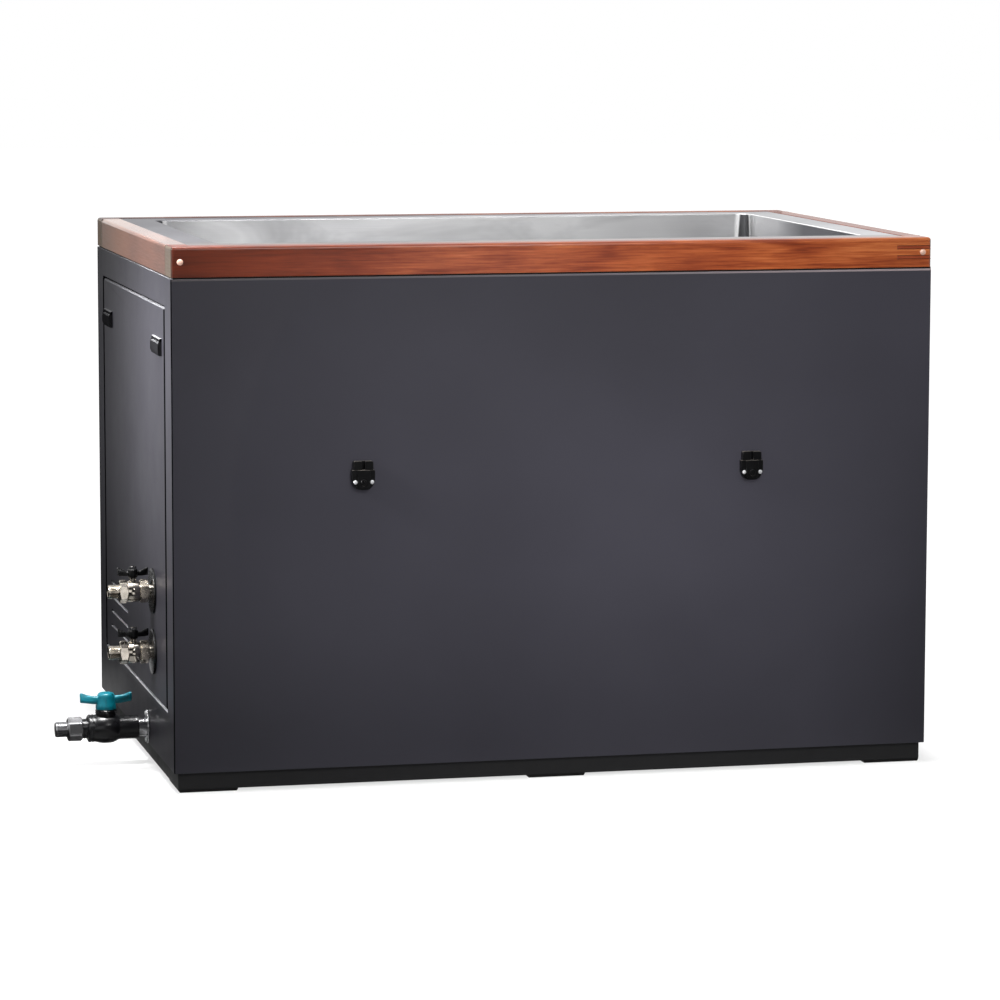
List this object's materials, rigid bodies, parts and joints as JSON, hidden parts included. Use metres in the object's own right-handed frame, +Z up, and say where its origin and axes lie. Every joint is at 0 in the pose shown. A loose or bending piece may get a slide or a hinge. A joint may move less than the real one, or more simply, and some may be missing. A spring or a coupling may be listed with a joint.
{
  "type": "cold plunge tub",
  "caption": "Deep rectangular steel plunge bath in an insulated dark cabinet with a hardwood rim, ball valves for circulation and drain at one end, and cover locks on the front.",
  "frame": {"origin": "on the floor under the middle of the cabinet", "axes": "+X along the length, away from the valves; +Y to the rear; +Z up"},
  "size_m": [1.685, 1.0195, 1.04],
  "materials": {
    "base_slab": "matt black sealed board",
    "foot_rubber": "matt",
    "frame_tube": "mill finish",
    "cabinet_panel": "satin charcoal",
    "stainless_basin": "brushed satin",
    "foam": "matt closed-cell foam",
    "hardwood": "oiled red-brown hardwood, satin",
    "copper_plug": "satin copper",
    "black_plastic": "satin",
    "stainless_fitting": "brushed satin",
    "nickel_brass": "nickel plated, polished",
    "zinc_screw": "zinc plated",
    "black_pvc": "satin",
    "teal_plastic": "satin teal"
  },
  "bodies": {
    "tub": {"base_slab": "base_slab", "foot_front_left": "foot_rubber", "foot_front_right": "foot_rubber", "foot_rear_left": "foot_rubber", "foot_rear_right": "foot_rubber", "centre_runner": "foot_rubber", "cabinet_frame": "frame_tube", "front_panel": "cabinet_panel", "rear_panel": "cabinet_panel", "right_panel": "cabinet_panel", "left_surround": "cabinet_panel", "access_panel": "cabinet_panel", "basin": "stainless_basin", "foam_jacket": "foam", "rim_front": "hardwood", "rim_rear": "hardwood", "rim_left": "hardwood", "rim_right": "hardwood", "rim_plug_front_left": "copper_plug", "rim_plug_front_right": "copper_plug", "rim_plug_rear_left": "copper_plug", "rim_plug_rear_right": "copper_plug", "latch_housing_front": "black_plastic", "latch_housing_rear": "black_plastic", "suction_grate": "stainless_fitting", "return_nozzle": "stainless_fitting", "suction_rosette": "stainless_fitting", "return_rosette": "stainless_fitting", "drain_strainer": "stainless_fitting", "drain_pipe": "stainless_fitting", "drain_flange": "stainless_fitting", "drain_outlet_adaptor": "stainless_fitting", "suction_nipple": "nickel_brass", "suction_valve_connector": "nickel_brass", "suction_valve_body": "nickel_brass", "return_nipple": "nickel_brass", "return_valve_connector": "nickel_brass", "return_valve_body": "nickel_brass", "drain_screw_upper": "zinc_screw", "drain_screw_lower": "zinc_screw", "drain_valve_body": "black_pvc", "drain_valve_collar": "black_pvc", "cover_lock_left": "black_plastic", "cover_lock_right": "black_plastic"},
    "return_valve_turn": {"return_valve_ball": "nickel_brass", "return_valve_stem": "nickel_brass", "return_valve_handle": "black_plastic", "return_handle_nut": "nickel_brass"},
    "suction_valve_turn": {"suction_valve_ball": "nickel_brass", "suction_valve_stem": "nickel_brass", "suction_valve_handle": "black_plastic", "suction_handle_nut": "nickel_brass"},
    "drain_valve_turn": {"drain_valve_ball": "black_pvc", "drain_valve_stem": "black_pvc", "drain_valve_handle": "teal_plastic"},
    "lock_cylinder_left": {"lock_cylinder_left": "black_plastic"},
    "lock_cylinder_right": {"lock_cylinder_right": "black_plastic"},
    "latch_paddle_front": {"latch_paddle_front": "black_plastic"},
    "latch_paddle_rear": {"latch_paddle_rear": "black_plastic"}
  },
  "joints": [
    {"name": "return_valve_turn", "type": "hinge", "parent": "tub", "child": "return_valve_turn", "pos_m": [-0.79, -0.245, 0.354], "axis": [0, 0, 1], "range_deg": [-90, 0]},
    {"name": "suction_valve_turn", "type": "hinge", "parent": "tub", "child": "suction_valve_turn", "pos_m": [-0.79, -0.245, 0.234], "axis": [0, 0, 1], "range_deg": [-90, 0]},
    {"name": "drain_valve_turn", "type": "hinge", "parent": "tub", "child": "drain_valve_turn", "pos_m": [-0.834, -0.167, 0.072], "axis": [0, 0, 1], "range_deg": [-90, 0]},
    {"name": "lock_turn_left", "type": "hinge", "parent": "tub", "child": "lock_cylinder_left", "pos_m": [-0.385, -0.5, 0.588], "axis": [0, 1, 0], "range_deg": [0, 90]},
    {"name": "lock_turn_right", "type": "hinge", "parent": "tub", "child": "lock_cylinder_right", "pos_m": [0.385, -0.5, 0.588], "axis": [0, 1, 0], "range_deg": [0, 90]},
    {"name": "latch_swing_front", "type": "hinge", "parent": "tub", "child": "latch_paddle_front", "pos_m": [-0.753, -0.332, 0.849], "axis": [0, 1, 0], "range_deg": [0, 30], "stiffness_Nm_per_rad": 0.05, "springref_deg": -20.05},
    {"name": "latch_swing_rear", "type": "hinge", "parent": "tub", "child": "latch_paddle_rear", "pos_m": [-0.753, 0.332, 0.849], "axis": [0, 1, 0], "range_deg": [0, 30], "stiffness_Nm_per_rad": 0.05, "springref_deg": -20.05}
  ]
}
